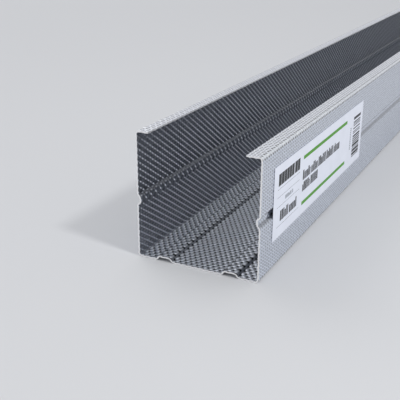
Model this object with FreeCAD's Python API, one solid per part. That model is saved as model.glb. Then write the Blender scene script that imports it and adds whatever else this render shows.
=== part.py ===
"""Cold-formed steel stud for plasterboard partitions: a lipped channel, lying on its web.

One strip of galvanised sheet runs through forming rolls, which bend it up into a web, two
flanges and two lips, and press stiffening ribs along it. One flange is taller than the other,
so that two studs close into a box, one inside the other. A printed label is stuck across the
groove of the short flange.

Millimetres. X runs across the web, Y along the stud and Z up, away from the web.
The origin is the middle of the web's outer face, half way along the stud.
"""
import FreeCAD, Part
import math
import os

# The strip that the stud is rolled from, and the length that it is cut to
LENGTH = 3000.0
SHEET = 0.65

# The rolled section, over its outer faces; the bend radius is on the inside of the bend
WEB_WIDTH = 50.0
TALL_FLANGE = 50.0
SHORT_FLANGE = 47.2
TALL_LIP = 5.4
SHORT_LIP = 6.2
BEND_RADIUS = 0.7

# The two trapezoid ribs that are pressed up into the web, measured on the outer face
RIB_SPACING = 27.2
RIB_FOOT = 6.2
RIB_CREST = 4.3
RIB_RISE = 1.3
RIB_RADIUS = 0.3

# The groove that is pressed into each flange, which guides the point of a drywall screw
GROOVE_HEIGHT = 23.2
GROOVE_MOUTH = 3.6
GROOVE_BED = 2.0
GROOVE_DEPTH = 1.1
GROOVE_RADIUS = 0.3

# The film label on the short flange, by its near end and its lower edge
LABEL_LENGTH = 114.0
LABEL_WIDTH = 28.5
LABEL_FILM = 0.12
LABEL_FROM_END = 11.2
LABEL_FROM_WEB = 11.4

LEFT_FACE = -WEB_WIDTH / 2
RIGHT_FACE = WEB_WIDTH / 2
NEAR_END = -LENGTH / 2


def pressed_rib(middle, mouth, crest, depth):
    """Corners of a trapezoid rib, as (distance along the wall, depth into the channel)."""
    return [
        (middle - mouth / 2, 0.0),
        (middle - crest / 2, depth),
        (middle + crest / 2, depth),
        (middle + mouth / 2, 0.0),
    ]


def flange_corners(face, inward, height, lip):
    """Outer corners (x, z, inside radius) of one flange, from the web's bend to the lip's tip."""
    corners = [(face, 0.0, BEND_RADIUS)]
    for z, depth in pressed_rib(GROOVE_HEIGHT, GROOVE_MOUTH, GROOVE_BED, GROOVE_DEPTH):
        corners.append((face + inward * depth, z, GROOVE_RADIUS))
    corners.append((face, height, BEND_RADIUS))
    corners.append((face + inward * lip, height, 0.0))
    return corners


def strip_corners():
    """Corners of the strip's outer face, from the tall flange's lip round to the short one's."""
    tall_flange = flange_corners(LEFT_FACE, 1, TALL_FLANGE, TALL_LIP)
    short_flange = flange_corners(RIGHT_FACE, -1, SHORT_FLANGE, SHORT_LIP)
    web = []
    for middle in (-RIB_SPACING / 2, RIB_SPACING / 2):
        for x, depth in pressed_rib(middle, RIB_FOOT, RIB_CREST, RIB_RISE):
            web.append((x, depth, RIB_RADIUS))
    return tall_flange[::-1] + web + short_flange


def rolled_edges(depth):
    """Edges of the strip at this depth below its outer face: straight walls and tangent bends."""
    corners = strip_corners()
    points = [FreeCAD.Vector(x, NEAR_END, z) for x, z, radius in corners]
    walls = [(end - start).normalize() for start, end in zip(points, points[1:])]
    inward = [FreeCAD.Vector(-wall.z, 0, wall.x) for wall in walls]

    edges = []
    start = points[0] + inward[0] * depth
    for i in range(1, len(walls)):
        into_bend, out_of_bend = walls[i - 1], walls[i]
        half_turn = into_bend.getAngle(out_of_bend) / 2
        mitre = (inward[i - 1] + inward[i]).normalize()
        corner = points[i] + mitre * (depth / math.cos(half_turn))

        # A bend into the channel has its centre inside, and one out of it has it outside
        into_channel = out_of_bend.dot(inward[i - 1]) > 0
        radius = corners[i][2] + (SHEET - depth if into_channel else depth)
        to_centre = mitre if into_channel else -mitre
        setback = radius * math.tan(half_turn)
        centre = corner + to_centre * (radius / math.cos(half_turn))

        bend_start = corner - into_bend * setback
        bend_end = corner + out_of_bend * setback
        edges.append(Part.makeLine(start, bend_start))
        edges.append(Part.Arc(bend_start, centre - to_centre * radius, bend_end).toShape())
        start = bend_end
    edges.append(Part.makeLine(start, points[-1] + inward[-1] * depth))
    return edges


def make_stud():
    """The rolled section between the strip's two faces and its two slit edges, run along Y."""
    outer_face = Part.Wire(rolled_edges(0.0))
    inner_face = Part.Wire(rolled_edges(SHEET))
    slit_edges = [
        Part.makeLine(outer_face.OrderedVertexes[end].Point, inner_face.OrderedVertexes[end].Point)
        for end in (0, -1)
    ]
    section = Part.Wire([*outer_face.Edges, slit_edges[1], *inner_face.Edges[::-1], slit_edges[0]])
    return Part.Face(section).extrude(FreeCAD.Vector(0, LENGTH, 0))


def make_label():
    """The label: thin film with square corners, flat on the short flange over its groove."""
    near_low_corner = FreeCAD.Vector(RIGHT_FACE, NEAR_END + LABEL_FROM_END, LABEL_FROM_WEB)
    return Part.makeBox(LABEL_FILM, LABEL_LENGTH, LABEL_WIDTH, near_low_corner)


os.makedirs("parts", exist_ok=True)
make_stud().exportStep("parts/stud.step")
make_label().exportStep("parts/label.step")
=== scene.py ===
"""Looks of a cold-formed steel stud for plasterboard partitions, lying on its web on a pale floor.

A strip of galvanised sheet is knurled between two patterned rolls, bent into a lipped channel
by forming rolls, cut to length, and gets a printed film label. Each section below is one of
these pieces or the studio that it is shown in. Metres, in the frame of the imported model.
"""

import math
import random

import bmesh
import bpy
import numpy as np
from mathutils import Matrix, Vector


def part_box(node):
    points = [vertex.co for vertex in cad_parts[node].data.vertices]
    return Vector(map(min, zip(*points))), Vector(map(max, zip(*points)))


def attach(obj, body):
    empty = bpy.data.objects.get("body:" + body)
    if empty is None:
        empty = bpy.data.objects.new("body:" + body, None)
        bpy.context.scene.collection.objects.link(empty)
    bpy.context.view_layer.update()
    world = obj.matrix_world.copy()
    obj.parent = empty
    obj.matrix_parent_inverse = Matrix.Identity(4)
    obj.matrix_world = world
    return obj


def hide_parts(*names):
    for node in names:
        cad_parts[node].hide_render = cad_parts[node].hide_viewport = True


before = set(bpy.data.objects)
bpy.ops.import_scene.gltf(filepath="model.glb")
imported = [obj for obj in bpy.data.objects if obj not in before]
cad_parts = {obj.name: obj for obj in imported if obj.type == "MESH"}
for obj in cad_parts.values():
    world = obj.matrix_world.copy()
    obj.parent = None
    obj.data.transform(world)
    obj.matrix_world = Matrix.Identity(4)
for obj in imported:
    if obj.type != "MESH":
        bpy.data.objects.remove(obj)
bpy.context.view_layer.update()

# The stud
# One strip of hot-dip galvanised steel. Before it is bent, two patterned rolls knurl it: a knob
# on one side is a dent on the other. The forming rolls then press the ribs and bend the walls.
MM = 0.001
SHEET = 0.65 * MM
SHORT_FLANGE = 47.2 * MM
TALL_LIP = 5.4 * MM
SHORT_LIP = 6.2 * MM
BEND_RADIUS = 0.7 * MM
RIB_SPACING = 27.2 * MM
RIB_FOOT = 6.2 * MM
RIB_CREST = 4.3 * MM
RIB_RISE = 1.3 * MM
GROOVE_HEIGHT = 23.2 * MM
GROOVE_MOUTH = 3.6 * MM
GROOVE_BED = 2.0 * MM
GROOVE_DEPTH = 1.1 * MM
PRESSED_RADIUS = 0.3 * MM

# The knurl: knobs in staggered rows, by the distance from a knob to the next dent
KNURL_ALONG = 1.83 * MM
KNURL_ACROSS = 1.2 * MM
KNURL_RELIEF = 0.14 * MM

# The stud is drawn in equal lengths, with a row of points for each row of knobs or dents
PIECES = 6
stud_low, stud_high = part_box("stud")
LENGTH = stud_high.y - stud_low.y
ROWS = round(LENGTH / KNURL_ALONG / PIECES)

# The regions of the section, and how many walls a flange has between its lip and the web
REGIONS = 4
LIP, FLANGE, WEB, BEND = range(REGIONS)
FLANGE_WALLS = 5

# A wall that leans more than this is a pressed flank: fully on a rib, and less so on a groove.
# On a full flank the knobs have lost this share of their height
SLANT = 0.1
RIB_FLANK = 1.0
GROOVE_FLANK = 0.6
FLANK_LOSS = 0.7

# A square bend is drawn in steps, and a pressed one in a single step
SQUARE_BEND = math.radians(80)
BEND_STEPS = 3


def pressed_rib(middle, mouth, crest, depth):
    """Corners of a trapezoid rib, as (distance along the wall, depth into the channel)."""
    return [
        (middle - mouth / 2, 0.0),
        (middle - crest / 2, depth),
        (middle + crest / 2, depth),
        (middle + mouth / 2, 0.0),
    ]


def flange_corners(face, inward, height, lip):
    """Outer corners (x, z, inside radius) of one flange, from the web's bend to its lip."""
    corners = [(face, 0.0, BEND_RADIUS)]
    for z, depth in pressed_rib(GROOVE_HEIGHT, GROOVE_MOUTH, GROOVE_BED, GROOVE_DEPTH):
        corners.append((face + inward * depth, z, PRESSED_RADIUS))
    corners.append((face, height, BEND_RADIUS))
    corners.append((face + inward * lip, height, 0.0))
    return corners


def across_the_strip():
    """Stations from lip to lip: (x, z), way into the channel, knobs and dents passed, flank, region."""
    corners = flange_corners(stud_low.x, 1, stud_high.z, TALL_LIP)[::-1]
    for middle in (-RIB_SPACING / 2, RIB_SPACING / 2):
        for x, depth in pressed_rib(middle, RIB_FOOT, RIB_CREST, RIB_RISE):
            corners.append((x, depth, PRESSED_RADIUS))
    corners += flange_corners(stud_high.x, -1, SHORT_FLANGE, SHORT_LIP)
    points = [Vector((x, z)) for x, z, radius in corners]
    walls = [(end - start).normalized() for start, end in zip(points, points[1:])]
    last = len(walls) - 1

    stations = []
    knobs = 0
    start = points[0]
    for i, wall in enumerate(walls):
        inward = Vector((-wall.y, wall.x))
        from_lip = min(i, last - i)
        region = LIP if from_lip == 0 else FLANGE if from_lip <= FLANGE_WALLS else WEB
        flank = 0.0
        if min(abs(wall.x), abs(wall.y)) > SLANT:
            flank = RIB_FLANK if region == WEB else GROOVE_FLANK

        # The wall ends at its lip's edge, or where the next bend starts
        end = points[i + 1]
        if i < last:
            turn = wall.angle_signed(walls[i + 1])
            radius = corners[i + 1][2] + (SHEET if turn < 0 else 0.0)
            end = points[i + 1] - wall * radius * math.tan(abs(turn) / 2)
        count = max(1, round((end - start).length / KNURL_ACROSS))
        for k in range(count):
            stations.append((start.lerp(end, k / count), inward, knobs + k, flank, region))
        knobs += count
        if i == last:
            stations.append((end, inward, knobs, flank, region))
            break

        # Blender's signed angle is clockwise, so a bend into the channel has a negative one
        side = 1 if turn < 0 else -1
        centre = end + inward * radius * side
        bent = round(abs(turn) * (radius - side * SHEET / 2) / KNURL_ACROSS)
        square = abs(turn) > SQUARE_BEND
        steps = BEND_STEPS if square else 1
        for k in range(steps):
            turned = Matrix.Rotation(-turn * k / steps, 2) @ inward
            place = centre - turned * radius * side
            stations.append((place, turned, knobs + bent * k / steps, flank, BEND if square else region))
        knobs += bent
        start = centre - (Matrix.Rotation(-turn, 2) @ inward) * radius * side
    return stations


stations = across_the_strip()

# The unrolled strip in the square of the bake: its two faces side by side with the slit edges
# between them, and the cuts beyond the two ends
BAKE_OUTER = 0.01
BAKE_INNER = 0.52
BAKE_WIDTH = 0.47
BAKE_SLIT = 0.487
SLIT_WIDTH = 0.008
SLIT_STEP = 0.014
BAKE_START = 0.02
BAKE_LENGTH = 0.96
BAKE_NEAR_CUT = 0.003
BAKE_FAR_CUT = 0.985
CUT_WIDTH = 0.01

# Every face of the strip has four corners
CORNERS = 4


def rolled_strip(name, first_row, rows):
    """One closed length of the knurled strip: a flat grid, thickened, then rolled to its section."""
    columns = len(stations) - 1
    thickness = 0.1
    bm = bmesh.new()
    bmesh.ops.create_grid(bm, x_segments=columns, y_segments=rows, size=0.5)
    bmesh.ops.translate(bm, verts=bm.verts, vec=(0.5, 0.5, 0.0))
    bmesh.ops.solidify(bm, geom=bm.faces[:], thickness=thickness)
    bmesh.ops.reverse_faces(bm, faces=bm.faces[:])
    mesh = bpy.data.meshes.new(name)
    bm.to_mesh(mesh)
    bm.free()

    # The station, the row and the side of the strip that each point is on
    flat = np.empty(len(mesh.vertices) * 3)
    mesh.vertices.foreach_get("co", flat)
    flat = flat.reshape(-1, 3)
    station = np.rint(flat[:, 0] * columns).astype(int)
    row = np.rint(flat[:, 1] * rows).astype(int)
    inside = (np.abs(flat[:, 2] - flat[0, 2]) > thickness / 2).astype(int)

    # Knobs and dents alternate from row to row, and are lower on the pressed flanks. The outer side
    # stays within the sheet, and the inner side waves about the sheet's inner face
    places, ways_in, knobs_passed, flanks, regions = (np.array(column) for column in zip(*stations))
    inward = ways_in[station]
    knobs = knobs_passed[station]
    flank = flanks[station]
    knob = np.cos(math.pi * knobs) * np.where((row + first_row) % 2, -1.0, 1.0)
    knob *= 1 - FLANK_LOSS * flank
    depth = KNURL_RELIEF / 2 * (1 - knob) + inside * (SHEET - KNURL_RELIEF / 2)
    rolled = np.empty_like(flat)
    rolled[:, [0, 2]] = places[station] + inward * depth[:, None]
    rolled[:, 1] = stud_low.y + LENGTH * (row + first_row) / (ROWS * PIECES)
    mesh.vertices.foreach_set("co", rolled.ravel())
    mesh.attributes.new("flank", "FLOAT", "POINT").data.foreach_set("value", flank)

    # Knobs and dents passed across and along, which the relief of the material keeps in step with.
    # The inside is one row on, because a knob outside is a dent inside
    corner = np.empty(len(mesh.loops), dtype=int)
    mesh.loops.foreach_get("vertex_index", corner)
    passed = np.column_stack((knobs, row + first_row + inside))[corner]
    mesh.uv_layers.new(name="knurl").data.foreach_set("uv", passed.ravel())

    # The rim joins the two sides: by the cuts at the ends, and by the slit edges of the lips
    faces = corner.reshape(-1, CORNERS)
    rim = np.ptp(inside[faces], axis=1) > 0
    cut = np.repeat(rim & (np.ptp(row[faces], axis=1) == 0), CORNERS)
    slit = np.repeat(rim, CORNERS) & ~cut
    short_side = station[corner] > 0
    share = knobs / knobs_passed[-1]
    across = (np.where(inside > 0, BAKE_INNER, BAKE_OUTER) + BAKE_WIDTH * share)[corner]
    across[cut] = (BAKE_OUTER + BAKE_WIDTH * share)[corner][cut]
    across[slit] = BAKE_SLIT + (SLIT_WIDTH * inside[corner] + SLIT_STEP * short_side)[slit]
    along = (BAKE_START + BAKE_LENGTH * row / rows)[corner]
    along[cut] = (np.where(row > 0, BAKE_FAR_CUT, BAKE_NEAR_CUT) + CUT_WIDTH * inside)[corner][cut]
    baked = mesh.uv_layers.new(name="OFBake")
    baked.data.foreach_set("uv", np.column_stack((across, along)).ravel())

    # A face has the material of its side and of the region that its first station is in: copies of one
    # zinc with different painted light and shade
    first_station = station[faces].min(axis=1)
    coating = regions[first_station] + REGIONS * inside[faces][:, 0]
    coating[rim] = 2 * REGIONS
    mesh.polygons.foreach_set("material_index", coating)
    mesh.update()
    mesh.shade_smooth()

    # Normals of the smooth section, because the coating's material draws the slopes of the knurl
    normals = np.zeros((len(mesh.loops), 3))
    normals[:, [0, 2]] = (inward * np.where(inside > 0, 1.0, -1.0)[:, None])[corner]
    along_wall = np.column_stack((inward[:, 1], -inward[:, 0]))[corner]
    normals[np.ix_(slit, [0, 2])] = (along_wall * np.where(short_side, 1.0, -1.0)[:, None])[slit]
    normals[cut] = 0.0
    normals[cut, 1] = np.where(row > 0, 1.0, -1.0)[corner][cut]
    mesh.normals_split_custom_set(normals)
    strip = bpy.data.objects.new(name, mesh)
    bpy.context.scene.collection.objects.link(strip)
    return strip


def linear(colour):
    """Scene colour of an sRGB hex value."""
    parts = [int(colour[i:i + 2], 16) / 255 for i in (1, 3, 5)]
    return [c / 12.92 if c <= 0.04045 else ((c + 0.055) / 1.055) ** 2.4 for c in parts] + [1.0]


def add_node(tree, kind, inputs, **settings):
    """A shader node with its settings, its fixed inputs and the links that come into it."""
    node = tree.nodes.new(kind)
    for name, value in settings.items():
        setattr(node, name, value)
    for name, value in inputs.items():
        if isinstance(value, bpy.types.NodeSocket):
            tree.links.new(value, node.inputs[name])
        else:
            node.inputs[name].default_value = value
    return node


def new_material(name):
    """A material with nodes, its node tree and its shader."""
    material = bpy.data.materials.new(name)
    material.use_nodes = True
    tree = material.node_tree
    return material, tree, tree.nodes["Principled BSDF"]


# The noise lies mostly between these two values
NOISE_LOW = 0.3
NOISE_HIGH = 0.7


def patches(tree, width, spread):
    """A factor that is uneven about 1 by this spread, in patches of about this width."""
    place = add_node(tree, "ShaderNodeTexCoord", {})
    noise = add_node(
        tree, "ShaderNodeTexNoise", {"Vector": place.outputs["Object"], "Scale": 1 / width, "Detail": 1.0}
    )
    factor = add_node(
        tree, "ShaderNodeMapRange",
        {0: noise.outputs[0], 1: NOISE_LOW, 2: NOISE_HIGH, 3: 1 - spread, 4: 1 + spread},
    )
    return factor.outputs[0]


def smooth_material(name, colour, metallic, roughness, width, spread):
    """A material without relief, whose colour and roughness are uneven in patches."""
    material, tree, shader = new_material(name)
    factor = patches(tree, width, spread)
    tone = add_node(
        tree, "ShaderNodeVectorMath", {0: linear(colour)[:3], 1: factor}, operation="MULTIPLY"
    )
    rough = add_node(tree, "ShaderNodeMath", {0: factor, 1: roughness}, operation="MULTIPLY")
    tree.links.new(tone.outputs[0], shader.inputs["Base Color"])
    tree.links.new(rough.outputs[0], shader.inputs["Roughness"])
    shader.inputs["Metallic"].default_value = metallic
    return material


def sum_and_difference(tree, pair):
    """The sum and the difference of the first two parts of a vector."""
    total = add_node(tree, "ShaderNodeVectorMath", {0: pair, 1: (1, 1, 0)}, operation="DOT_PRODUCT")
    rest = add_node(tree, "ShaderNodeVectorMath", {0: pair, 1: (1, -1, 0)}, operation="DOT_PRODUCT")
    both = add_node(
        tree, "ShaderNodeCombineXYZ", {0: total.outputs["Value"], 1: rest.outputs["Value"]}
    )
    return both.outputs[0]


def furrow_relief(tree, sines, ripples, flank, relief, steep, there_share, flank_knurl):
    """Normals of the two families of furrows; one side of each furrow is steep and narrow."""
    slopes = add_node(
        tree, "ShaderNodeVectorMath", {0: ripples, 1: (steep,) * 3, 2: sines}, operation="MULTIPLY_ADD"
    )
    slopes = add_node(
        tree, "ShaderNodeVectorMath", {0: slopes.outputs[0], 1: (there_share, 1, 1)}, operation="MULTIPLY"
    )
    flatter = add_node(tree, "ShaderNodeMapRange", {0: flank, 1: 0.0, 2: 1.0, 3: 1.0, 4: flank_knurl})
    slopes = add_node(
        tree, "ShaderNodeVectorMath",
        {0: sum_and_difference(tree, slopes.outputs[0]), 1: flatter.outputs[0]}, operation="MULTIPLY",
    )

    # The two families add up to the relief, so each waves by a quarter of it to either side
    steepness = [math.pi * relief / 4 / pitch for pitch in (KNURL_ACROSS, KNURL_ALONG)]
    normal = add_node(
        tree, "ShaderNodeVectorMath", {0: slopes.outputs[0], 1: (*steepness, 0), 2: (0, 0, 1)},
        operation="MULTIPLY_ADD",
    )
    normal = add_node(tree, "ShaderNodeVectorMath", {0: normal.outputs[0]}, operation="NORMALIZE")

    # A normal map takes each part of the normal as a colour between 0 and 1
    normal = add_node(
        tree, "ShaderNodeVectorMath", {0: normal.outputs[0], 1: (0.5,) * 3, 2: (0.5,) * 3},
        operation="MULTIPLY_ADD",
    )
    return add_node(tree, "ShaderNodeNormalMap", {"Color": normal.outputs[0]}, uv_map="knurl").outputs[0]


def zinc_coating(
    name, colour, relief, steep, painted_light_follows, shares, painted_shade_at, unshaded_at, painted_shade_tone,
    there_share=1.0, flank_knurl=0.4, flank_shade_tone=0.5,
):
    """Hot-dip zinc that the patterned rolls have pressed: semi-matt, with painted shade and painted
    highlights on the knurl and painted shade on pressed flanks.
    """
    material, tree, shader = new_material(name)

    # Two families of furrows cross at a slant, one there and one back
    passed = add_node(tree, "ShaderNodeUVMap", {}, uv_map="knurl")
    families = sum_and_difference(tree, passed.outputs[0])
    turns = add_node(
        tree, "ShaderNodeVectorMath", {0: families, 1: (math.pi,) * 3}, operation="MULTIPLY"
    ).outputs[0]
    doubles = add_node(
        tree, "ShaderNodeVectorMath", {0: turns, 1: (2.0,) * 3}, operation="MULTIPLY"
    ).outputs[0]
    sines = add_node(tree, "ShaderNodeVectorMath", {0: turns}, operation="SINE").outputs[0]
    cosines = add_node(tree, "ShaderNodeVectorMath", {0: turns}, operation="COSINE").outputs[0]
    ripples = add_node(tree, "ShaderNodeVectorMath", {0: doubles}, operation="COSINE").outputs[0]
    flank = add_node(tree, "ShaderNodeAttribute", {}, attribute_name="flank").outputs["Fac"]
    normal = furrow_relief(tree, sines, ripples, flank, relief, steep, there_share, flank_knurl)
    tree.links.new(normal, shader.inputs["Normal"])

    # Painted shade and painted highlights on the knurl follow the slopes of the furrows or the height
    # that they add up to
    waves = sines if painted_light_follows == "slopes" else cosines
    painted_light_wave = add_node(
        tree, "ShaderNodeVectorMath", {0: waves, 1: (*shares, 0)}, operation="DOT_PRODUCT"
    ).outputs["Value"]
    if painted_light_follows == "knobs and dents":
        painted_light_wave = add_node(tree, "ShaderNodeMath", {0: painted_light_wave}, operation="ABSOLUTE").outputs[0]
    painted_shade = add_node(
        tree, "ShaderNodeMapRange", {0: painted_light_wave, 1: painted_shade_at, 2: unshaded_at, 3: 1.0, 4: 0.0},
        interpolation_type="SMOOTHSTEP",
    )
    unshaded_colour = linear(colour)
    painted_shade_colour = [painted_shade_tone * part for part in unshaded_colour]
    tone = add_node(
        tree, "ShaderNodeMix", {0: painted_shade.outputs[0], 6: unshaded_colour, 7: painted_shade_colour}, data_type="RGBA"
    )
    # The pressed flanks of ribs and grooves get painted shade: their colour is darker
    flank_painted_shade = add_node(tree, "ShaderNodeMapRange", {0: flank, 1: 0.0, 2: 1.0, 3: 1.0, 4: flank_shade_tone})
    tone = add_node(
        tree, "ShaderNodeVectorMath", {0: tone.outputs[2], 1: flank_painted_shade.outputs[0]}, operation="MULTIPLY"
    )

    # Faint mottling of the zinc, a millimetre wide
    mottle = patches(tree, width=1.0 * MM, spread=0.12)
    tone = add_node(tree, "ShaderNodeVectorMath", {0: tone.outputs[0], 1: mottle}, operation="MULTIPLY")
    tree.links.new(tone.outputs[0], shader.inputs["Base Color"])
    shader.inputs["Metallic"].default_value = 1.0
    shader.inputs["Roughness"].default_value = 0.32
    return material


# The outside is pale, with small spots of painted shade on knobs and dents, strongest on the lips and
# bends; the lips, walls and bends are copies of one zinc whose colours differ a little as painted light
# and shade
lip_outside = zinc_coating(
    "zinc coating, knurled, outside of the lips", "#f4f7ff", relief=0.25 * MM, steep=0.3,
    painted_light_follows="knobs and dents", shares=(0.5, 0.5), painted_shade_at=1.0, unshaded_at=0.1, painted_shade_tone=0.3,
)
wall_outside = zinc_coating(
    "zinc coating, knurled, outside of the walls", "#ebf0fa", relief=0.22 * MM, steep=0.3,
    painted_light_follows="knobs and dents", shares=(0.7, 0.3), painted_shade_at=1.0, unshaded_at=0.0, painted_shade_tone=0.6,
    flank_shade_tone=0.25,
)
bend_outside = zinc_coating(
    "zinc coating, knurled, outside of the bends", "#f0f3f8", relief=0.3 * MM, steep=0.3,
    painted_light_follows="knobs and dents", shares=(0.5, 0.5), painted_shade_at=1.0, unshaded_at=0.3, painted_shade_tone=0.1,
)

# The inside is a darker copy of the zinc as painted shade, with painted highlights in slanting furrows on
# the flanges and painted shade in rows of dents on the web
flange_inside = zinc_coating(
    "zinc coating, knurled, inside of the flanges", "#d8dde8", relief=0.75 * MM, steep=0.4,
    painted_light_follows="slopes", shares=(-0.1, -1.0), painted_shade_at=0.4, unshaded_at=1.1, painted_shade_tone=0.4,
    there_share=0.6, flank_knurl=1.0, flank_shade_tone=0.4,
)
web_inside = zinc_coating(
    "zinc coating, knurled, inside of the web, painted shade", "#e2e6ee", relief=0.55 * MM, steep=-0.4,
    painted_light_follows="dents", shares=(0.6, 0.4), painted_shade_at=-0.95, unshaded_at=0.0, painted_shade_tone=0.05,
)

# Sheared steel: the bare, bright cut across the strip and along its slit edges, finely torn
sheared = smooth_material(
    "steel, sheared edge", "#fcfcfd", metallic=1.0, roughness=0.55, width=0.3 * MM, spread=0.05
)

# In the order of the regions: lip, flange, web and bend
outside = (lip_outside, wall_outside, wall_outside, bend_outside)
inside = (flange_inside, flange_inside, web_inside, flange_inside)
for i in range(PIECES):
    strip = rolled_strip(f"stud_{i + 1}", i * ROWS, ROWS)
    for material in (*outside, *inside, sheared):
        strip.data.materials.append(material)
    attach(strip, "root")
    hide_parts("stud")

# The label's film
# White polypropylene film with a satin face, cut square and stuck flat on the short flange,
# across its groove.
label_low, label_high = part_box("label")
INK = 0.02 * MM
FILM_EDGE = 0.03 * MM


def on_label(bm, name, materials):
    """The finished mesh as a piece that rides on the stud and stands for the label."""
    mesh = bpy.data.meshes.new(name)
    bm.to_mesh(mesh)
    bm.free()
    for material in materials:
        mesh.materials.append(material)
    piece = bpy.data.objects.new(name, mesh)
    bpy.context.scene.collection.objects.link(piece)
    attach(piece, "root")
    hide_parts("label")


# The satin face is slightly uneven where it was pressed on
film_white = smooth_material(
    "polypropylene film, white", "#ebeffa", metallic=0.0, roughness=0.45, width=6.0 * MM, spread=0.02
)
bm = bmesh.new()
film = bmesh.ops.create_cube(bm, size=1.0)["verts"]
bmesh.ops.scale(bm, verts=film, vec=label_high - label_low - Vector((INK, 0.0, 0.0)))
bmesh.ops.translate(bm, verts=film, vec=(label_low + label_high) / 2)
bmesh.ops.bevel(bm, geom=bm.edges[:], offset=FILM_EDGE, segments=3, profile=0.5, affect="EDGES")
on_label(bm, "label_film", [film_white])

# The label's print
# Green, dark and grey ink in plain bars and uneven blocks, printed on the film. The ink lies a
# bit thick and thin.
INK_COLOURS = {"green": "#4f9a22", "dark": "#202327", "grey": "#8d939b"}
GREEN, DARK, GREY = range(len(INK_COLOURS))

# A row's blocks stand this many together, with a wider gap after them, and some are lower
BLOCKS_TOGETHER = 6
WIDER_GAP = 3
BLOCK_HEIGHTS = (1.0, 0.75, 1.0)
chance = random.Random(7)


def block(bm, near, low, length, width, ink):
    """A flat block on the label, by the distance of its corner from the near end and the web."""
    made = bmesh.ops.create_cube(bm, size=1.0)["verts"]
    bmesh.ops.scale(bm, verts=made, vec=(INK, length, width))
    middle = (label_high.x - INK / 2, stud_low.y + near + length / 2, low + width / 2)
    bmesh.ops.translate(bm, verts=made, vec=middle)
    for face in {face for vert in made for face in vert.link_faces}:
        face.material_index = ink


def row_of_blocks(bm, near, far, low, height, widths, gap, ink):
    """Upright blocks of uneven width in a line, with a wider gap after every few of them."""
    count = 0
    while True:
        width = chance.uniform(*widths)
        if near + width > far:
            break
        block(bm, near, low, width, height * chance.choice(BLOCK_HEIGHTS), ink)
        count += 1
        near += width + (gap if count % BLOCKS_TOGETHER else WIDER_GAP * gap)


inks = [
    smooth_material(
        f"printing ink, {name}", colour, metallic=0.0, roughness=0.5, width=0.5 * MM, spread=0.06
    )
    for name, colour in INK_COLOURS.items()
]
bm = bmesh.new()

# The two green bars, and the fine grey lines between the fields near the end
for low in (34.4, 15.3):
    block(bm, near=41.6 * MM, low=low * MM, length=57.8 * MM, width=1.5 * MM, ink=GREEN)
for low in (30.4, 27.3, 23.5, 15.7):
    block(bm, near=14.8 * MM, low=low * MM, length=23.3 * MM, width=0.15 * MM, ink=GREY)

# Rows of blocks: near end, far end, lower edge, height, range of widths, gap and ink
for near, far, low, height, widths, gap, ink in (
    (15.5, 38.4, 31.7, 4.6, (2.2, 3.4), 0.25, DARK),
    (22.9, 30.9, 24.6, 1.5, (0.6, 1.0), 0.3, GREY),
    (18.1, 35.6, 17.4, 4.1, (0.8, 1.6), 0.35, DARK),
    (41.6, 90.4, 25.9, 4.1, (0.8, 1.6), 0.35, DARK),
    (41.6, 61.0, 21.1, 3.8, (0.8, 1.6), 0.35, DARK),
):
    widths = [width * MM for width in widths]
    row_of_blocks(bm, near * MM, far * MM, low * MM, height * MM, widths, gap * MM, ink)

# Small grey blocks one above the other, and bars of uneven thickness beside the far edge
for line in range(12):
    block(bm, near=105.6 * MM, low=(20.3 + 0.9 * line) * MM, length=1.6 * MM, width=0.5 * MM, ink=GREY)
low = 15.3 * MM
top = 35.2 * MM
while low < top:
    thickness = chance.choice((0.4, 0.6, 0.9, 1.3)) * MM
    block(bm, near=110.4 * MM, low=low, length=11.1 * MM, width=thickness, ink=DARK)
    low += thickness + chance.choice((0.4, 0.4, 0.9)) * MM
on_label(bm, "label_print", inks)

# The floor and the light
# A pale, matt studio floor, a small lamp high on the right, a broad weak one behind on the left,
# and an even pale surround.
bm = bmesh.new()
bmesh.ops.create_grid(bm, x_segments=1, y_segments=1, size=8.0)
floor_mesh = bpy.data.meshes.new("floor")
bm.to_mesh(floor_mesh)
bm.free()
floor_paint, _, shader = new_material("floor, matt pale paint")
shader.inputs["Base Color"].default_value = linear("#d0d1d3")
shader.inputs["Roughness"].default_value = 0.9
shader.inputs["Specular IOR Level"].default_value = 0.1
floor_mesh.materials.append(floor_paint)
floor = bpy.data.objects.new("floor", floor_mesh)
bpy.context.scene.collection.objects.link(floor)


def add_lamp(name, shape, size, power, aim, way, distance):
    """An area lamp that shines on the aim from this way and distance."""
    data = bpy.data.lights.new(name, "AREA")
    data.shape = shape
    data.size = size
    data.energy = power
    lamp = bpy.data.objects.new(name, data)
    way = Vector(way).normalized()
    lamp.location = Vector(aim) + way * distance
    lamp.rotation_euler = way.to_track_quat("Z", "Y").to_euler()
    bpy.context.scene.collection.objects.link(lamp)


add_lamp(
    "key lamp", "DISK", size=0.12, power=2.2,
    aim=(0.0, -1.45, 0.0), way=(0.61, -0.17, 0.77), distance=0.9,
)
add_lamp(
    "back lamp", "SQUARE", size=3.0, power=38.0,
    aim=(0.0, -1.3, 0.0), way=(-0.7, 0.3, 0.63), distance=4.0,
)

world = bpy.data.worlds.new("studio")
bpy.context.scene.world = world
world.use_nodes = True
surround = world.node_tree.nodes["Background"]
surround.inputs["Color"].default_value = linear("#f4f5f8")
surround.inputs["Strength"].default_value = 0.8

# The camera stands before the labelled end, where the edges of the section fit the photo
camera_data = bpy.data.cameras.new("camera")
camera_data.lens = 66.115
camera_data.sensor_width = 36.0
camera_data.clip_start = 0.01
camera = bpy.data.objects.new("camera", camera_data)
camera.location = (0.11202, -1.71674, 0.12349)
camera.rotation_euler = [math.radians(angle) for angle in (68.524, -0.242, 27.135)]
bpy.context.scene.collection.objects.link(camera)
bpy.context.scene.camera = camera
bpy.context.scene.view_settings.view_transform = "Standard"
